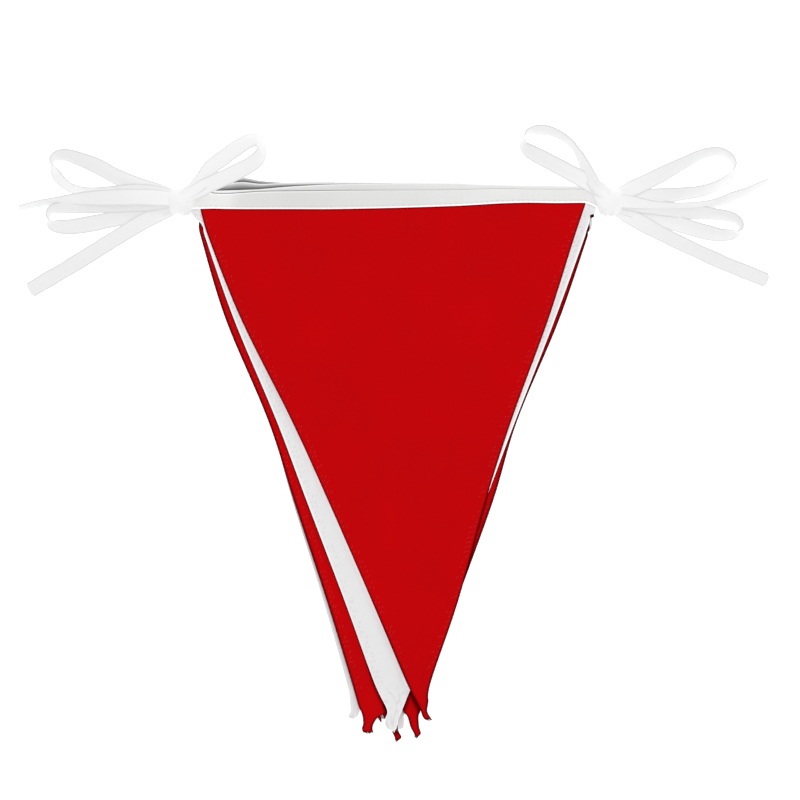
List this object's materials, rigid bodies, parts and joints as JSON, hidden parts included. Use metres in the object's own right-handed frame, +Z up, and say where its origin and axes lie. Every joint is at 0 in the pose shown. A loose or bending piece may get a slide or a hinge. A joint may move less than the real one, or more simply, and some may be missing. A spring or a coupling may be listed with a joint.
{
  "type": "folded pennant bunting",
  "caption": "Triangular cloth flags, red and white in turn, folded back and forth on a white heading tape that is tied at both ends with a ribbon bow.",
  "frame": {"origin": "middle of the outline, seen from above, at the surface that the folded bunting lies on", "axes": "+X to the right along the heading tape, +Y from the tips towards the heading tape, +Z up, out of the side that shows"},
  "size_m": [0.3771, 0.3076, 0.0185],
  "materials": {
    "red_cloth": "matte, fine plain weave, thin polyester",
    "white_cloth": "matte, fine plain weave, thin polyester",
    "white_tape": "matte, folded woven tape",
    "white_ribbon": "matte with a faint sheen, woven ribbon"
  },
  "bodies": {
    "root": {"pennant_1_red": "red_cloth", "pennant_2_white": "white_cloth", "pennant_3_red": "red_cloth", "pennant_4_white": "white_cloth", "pennant_5_red": "red_cloth", "pennant_6_white": "white_cloth", "pennant_7_red": "red_cloth", "pennant_8_white": "white_cloth", "heading_tape": "white_tape", "tie_left": "white_ribbon", "tie_right": "white_ribbon"}
  },
  "joints": []
}
